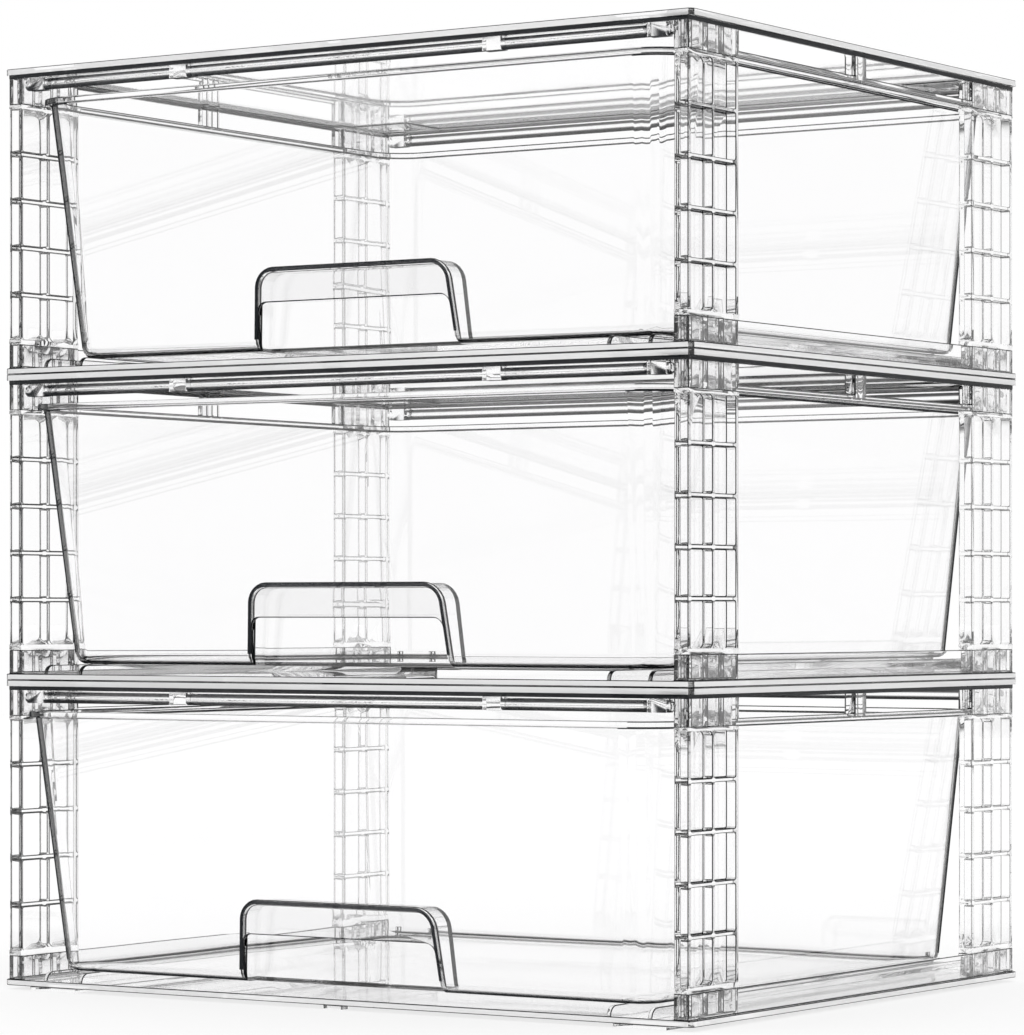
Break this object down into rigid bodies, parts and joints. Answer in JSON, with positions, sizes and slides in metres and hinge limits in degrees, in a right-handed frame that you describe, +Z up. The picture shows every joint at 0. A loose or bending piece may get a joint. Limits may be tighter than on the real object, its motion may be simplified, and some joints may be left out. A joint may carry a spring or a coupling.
{
  "type": "stackable drawer box",
  "caption": "Stack of open-sided clear plastic boxes with plug-in corner posts and tapered pull-out drawers that have a finger pocket.",
  "frame": {"origin": "middle of the outline seen from above, with the lower drawer standing out as pictured, on the surface that the lowest feet stand on", "axes": "+Z up, -Y the front that the drawers pull out to, +X to the right seen from the front"},
  "size_m": [0.4, 0.3286, 0.4579],
  "materials": {
    "panel_plastic": "clear, polished",
    "post_plastic": "clear, polished",
    "drawer_plastic": "clear, polished"
  },
  "bodies": {
    "lower_box": {"lower_base_panel": "panel_plastic", "lower_top_panel": "panel_plastic", "lower_post_front_left": "post_plastic", "lower_post_front_right": "post_plastic", "lower_post_rear_left": "post_plastic", "lower_post_rear_right": "post_plastic"},
    "lower_drawer": {"lower_drawer": "drawer_plastic"},
    "middle_box": {"middle_base_panel": "panel_plastic", "middle_top_panel": "panel_plastic", "middle_post_front_left": "post_plastic", "middle_post_front_right": "post_plastic", "middle_post_rear_left": "post_plastic", "middle_post_rear_right": "post_plastic"},
    "middle_drawer": {"middle_drawer": "drawer_plastic"},
    "upper_box": {"upper_base_panel": "panel_plastic", "upper_top_panel": "panel_plastic", "upper_post_front_left": "post_plastic", "upper_post_front_right": "post_plastic", "upper_post_rear_left": "post_plastic", "upper_post_rear_right": "post_plastic"},
    "upper_drawer": {"upper_drawer": "drawer_plastic"}
  },
  "joints": [
    {"name": "lower_drawer_slide", "type": "slide", "parent": "lower_box", "child": "lower_drawer", "axis": [0, -1, 0], "range_m": [-0.012, 0.238]},
    {"name": "middle_drawer_slide", "type": "slide", "parent": "middle_box", "child": "middle_drawer", "axis": [0, -1, 0], "range_m": [-0.0055, 0.2445]},
    {"name": "upper_drawer_slide", "type": "slide", "parent": "upper_box", "child": "upper_drawer", "axis": [0, -1, 0], "range_m": [0, 0.25]},
    {"name": "middle_box_lift", "type": "slide", "parent": "lower_box", "child": "middle_box", "axis": [0, 0, 1], "range_m": [0, 0.06]},
    {"name": "upper_box_lift", "type": "slide", "parent": "middle_box", "child": "upper_box", "axis": [0, 0, 1], "range_m": [0, 0.06]}
  ]
}
